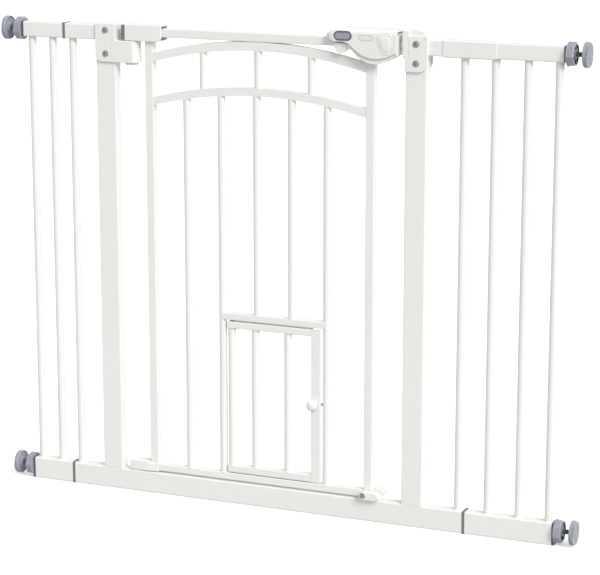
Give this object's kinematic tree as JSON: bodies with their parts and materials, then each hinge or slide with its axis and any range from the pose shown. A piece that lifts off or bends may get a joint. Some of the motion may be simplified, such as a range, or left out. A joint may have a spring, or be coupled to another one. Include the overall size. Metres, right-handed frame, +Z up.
{
  "type": "pet gate",
  "caption": "Pressure-mounted steel pet gate with a swinging walk-through door, a small latched cat door, a lift handle, extension panels and screw-out wall pads.",
  "frame": {"origin": "centre of the bounding box at its lowest level, the underside of the bottom rail", "axes": "+X along the rails from the door's hinge side to its latch side, +Y from the front face to the back, +Z up"},
  "size_m": [0.965, 0.0496, 0.775],
  "materials": {
    "white_steel": "satin white powder coat",
    "white_plastic": "moulded, slightly glossy",
    "grey_plastic": "moulded, fine texture",
    "dark_plastic": "moulded, matte",
    "grey_rubber": "matte",
    "dark_steel": "blackened thread",
    "plated_steel": "zinc plated"
  },
  "bodies": {
    "frame": {"left_extension_bottom_rail": "white_steel", "left_extension_top_rail": "white_steel", "right_extension_bottom_rail": "white_steel", "right_extension_top_rail": "white_steel", "left_top_rail": "white_steel", "right_top_rail": "white_steel", "bottom_rail": "white_steel", "left_post": "white_steel", "right_post": "white_steel", "left_side_bars": "white_steel", "right_side_bars": "white_steel", "joint_spacers": "grey_plastic", "joint_spigots": "plated_steel", "right_joint_sleeve": "white_steel", "rail_end_plugs": "dark_plastic", "left_hinge_bracket": "white_plastic", "door_hinge_pins": "plated_steel", "latch_keeper": "white_plastic", "bracket_screws": "plated_steel"},
    "door": {"door_left_stile": "white_steel", "door_right_stile": "white_steel", "door_top_bar": "white_steel", "door_bottom_rail": "white_steel", "door_upper_arch": "white_steel", "door_lower_arch": "white_steel", "door_left_bars": "white_steel", "door_upper_bars": "white_steel", "door_latch_jamb_bar": "white_steel", "door_short_bars": "white_steel", "cat_door_lintel": "white_steel", "upper_hinge_block": "white_plastic", "lower_hinge_block": "white_plastic", "handle_base": "white_plastic", "handle_pivot_pin": "plated_steel"},
    "handle": {"handle_shell": "white_plastic", "thumb_pads": "white_plastic"},
    "lock_button": {"lock_button": "grey_plastic"},
    "release_trigger": {"release_trigger": "white_plastic"},
    "latch_bolt": {"latch_bolt": "plated_steel"},
    "stop_fork": {"stop_arms": "white_plastic", "stop_pin": "plated_steel"},
    "cat_door": {"cat_door_bottom_rail": "white_steel", "cat_door_top_rail": "white_steel", "cat_door_bars": "white_steel", "cat_door_latch_stile": "white_steel", "cat_door_pivot_pins": "plated_steel"},
    "cat_latch": {"cat_latch_knob": "white_plastic", "cat_latch_bolt": "plated_steel"},
    "nut_lower_left": {"nut_lower_left": "grey_plastic"},
    "spindle_lower_left": {"spindle_lower_left": "dark_steel", "pad_lower_left": "grey_rubber"},
    "nut_upper_left": {"nut_upper_left": "grey_plastic"},
    "spindle_upper_left": {"spindle_upper_left": "dark_steel", "pad_upper_left": "grey_rubber"},
    "nut_lower_right": {"nut_lower_right": "grey_plastic"},
    "spindle_lower_right": {"spindle_lower_right": "dark_steel", "pad_lower_right": "grey_rubber"},
    "nut_upper_right": {"nut_upper_right": "grey_plastic"},
    "spindle_upper_right": {"spindle_upper_right": "dark_steel", "pad_upper_right": "grey_rubber"}
  },
  "joints": [
    {"name": "door_swing", "type": "hinge", "parent": "frame", "child": "door", "pos_m": [-0.258, 0, 0.4], "axis": [0, 0, 1], "range_deg": [-90, 90]},
    {"name": "cat_door_swing", "type": "hinge", "parent": "door", "child": "cat_door", "pos_m": [-0.0885, 0, 0.18], "axis": [0, 0, 1], "range_deg": [-90, 90]},
    {"name": "cat_latch_slide", "type": "slide", "parent": "cat_door", "child": "cat_latch", "axis": [-1, 0, 0], "range_m": [0, 0.0045]},
    {"name": "handle_lift", "type": "hinge", "parent": "door", "child": "handle", "pos_m": [0.18, 0, 0.764], "axis": [0, 1, 0], "range_deg": [0, 25]},
    {"name": "bolt_slide", "type": "slide", "parent": "door", "child": "latch_bolt", "axis": [-1, 0, 0], "range_m": [0, 0.0085]},
    {"name": "lock_button_press", "type": "slide", "parent": "handle", "child": "lock_button", "axis": [0, 1, 0], "range_m": [0, 0.003], "stiffness_N_per_m": 300},
    {"name": "release_trigger_press", "type": "slide", "parent": "handle", "child": "release_trigger", "axis": [0, 0, 1], "range_m": [0, 0.004], "stiffness_N_per_m": 300},
    {"name": "stop_fork_flip", "type": "hinge", "parent": "door", "child": "stop_fork", "pos_m": [0.141, 0, 0.0438], "axis": [0, -1, 0], "range_deg": [0, 90]},
    {"name": "nut_turn_lower_left", "type": "hinge", "parent": "frame", "child": "nut_lower_left", "pos_m": [-0.4555, 0, 0.0215], "axis": [-1, 0, 0], "range_deg": [-2520, 4320]},
    {"name": "spindle_slide_lower_left", "type": "slide", "parent": "frame", "child": "spindle_lower_left", "axis": [-1, 0, 0], "range_m": [-0.0106, 0.0181]},
    {"name": "nut_turn_upper_left", "type": "hinge", "parent": "frame", "child": "nut_upper_left", "pos_m": [-0.4555, 0, 0.75], "axis": [-1, 0, 0], "range_deg": [-2520, 4320]},
    {"name": "spindle_slide_upper_left", "type": "slide", "parent": "frame", "child": "spindle_upper_left", "axis": [-1, 0, 0], "range_m": [-0.0106, 0.0181]},
    {"name": "nut_turn_lower_right", "type": "hinge", "parent": "frame", "child": "nut_lower_right", "pos_m": [0.4555, 0, 0.0215], "axis": [1, 0, 0], "range_deg": [-2520, 4320]},
    {"name": "spindle_slide_lower_right", "type": "slide", "parent": "frame", "child": "spindle_lower_right", "axis": [1, 0, 0], "range_m": [-0.0106, 0.0181]},
    {"name": "nut_turn_upper_right", "type": "hinge", "parent": "frame", "child": "nut_upper_right", "pos_m": [0.4555, 0, 0.75], "axis": [1, 0, 0], "range_deg": [-2520, 4320]},
    {"name": "spindle_slide_upper_right", "type": "slide", "parent": "frame", "child": "spindle_upper_right", "axis": [1, 0, 0], "range_m": [-0.0106, 0.0181]}
  ],
  "couplings": [
    {"joint": "bolt_slide", "follows": "handle_lift", "m_per_rad": 0.0183},
    {"joint": "spindle_slide_lower_left", "follows": "nut_turn_lower_left", "m_per_rad": 0.00023873},
    {"joint": "spindle_slide_upper_left", "follows": "nut_turn_upper_left", "m_per_rad": 0.00023873},
    {"joint": "spindle_slide_lower_right", "follows": "nut_turn_lower_right", "m_per_rad": 0.00023873},
    {"joint": "spindle_slide_upper_right", "follows": "nut_turn_upper_right", "m_per_rad": 0.00023873}
  ]
}
